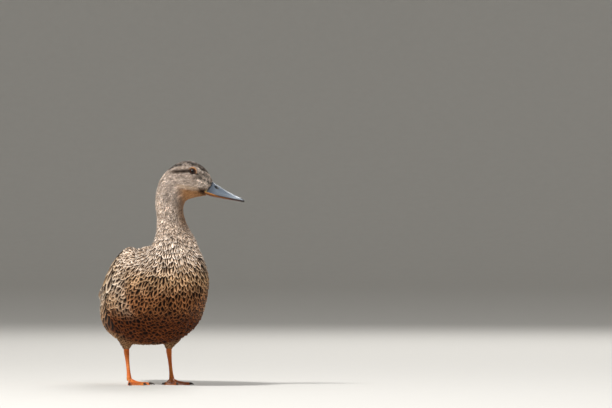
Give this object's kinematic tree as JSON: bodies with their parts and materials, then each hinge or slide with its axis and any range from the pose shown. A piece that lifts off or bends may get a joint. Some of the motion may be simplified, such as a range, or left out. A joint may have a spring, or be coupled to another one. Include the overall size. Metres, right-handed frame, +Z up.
{
  "type": "female mallard duck, standing model",
  "caption": "Life-size female mallard standing on both webbed feet with its head turned to its left.",
  "frame": {"origin": "on the ground under the middle of the bird's bounding box", "axes": "+Y towards the tail, -Y where the breast points, +X the bird's left, +Z up"},
  "size_m": [0.155, 0.3284, 0.2943],
  "materials": {
    "head_plumage": "matte, finely streaked dark on buff, with a dark crown and eye stripe",
    "body_plumage": "matte, dark feather centres with buff edges, rufous low on the breast",
    "wing_plumage": "matte, dark brown with buff edges",
    "flight_plumage": "matte dusky brown",
    "tail_plumage": "matte, dusky with whitish buff edges",
    "bill": "horn with a soft sheen, blue grey",
    "bill_edge": "horn with a soft sheen, orange brown",
    "leg": "scaled skin with a soft sheen, orange",
    "claw": "dark horn",
    "eye": "wet and glossy, dark brown"
  },
  "bodies": {
    "root": {"trunk": "body_plumage", "neck": "body_plumage", "head": "head_plumage", "bill_upper": "bill", "bill_lower": "bill_edge", "tail": "tail_plumage", "eye_left": "eye", "wing_left": "wing_plumage", "primaries_left": "flight_plumage", "thigh_left": "body_plumage", "tarsus_left": "leg", "foot_left": "leg", "hind_toe_left": "leg", "claw_left_inner": "claw", "claw_left_middle": "claw", "claw_left_outer": "claw", "eye_right": "eye", "wing_right": "wing_plumage", "primaries_right": "flight_plumage", "thigh_right": "body_plumage", "tarsus_right": "leg", "foot_right": "leg", "hind_toe_right": "leg", "claw_right_inner": "claw", "claw_right_middle": "claw", "claw_right_outer": "claw"}
  },
  "joints": []
}
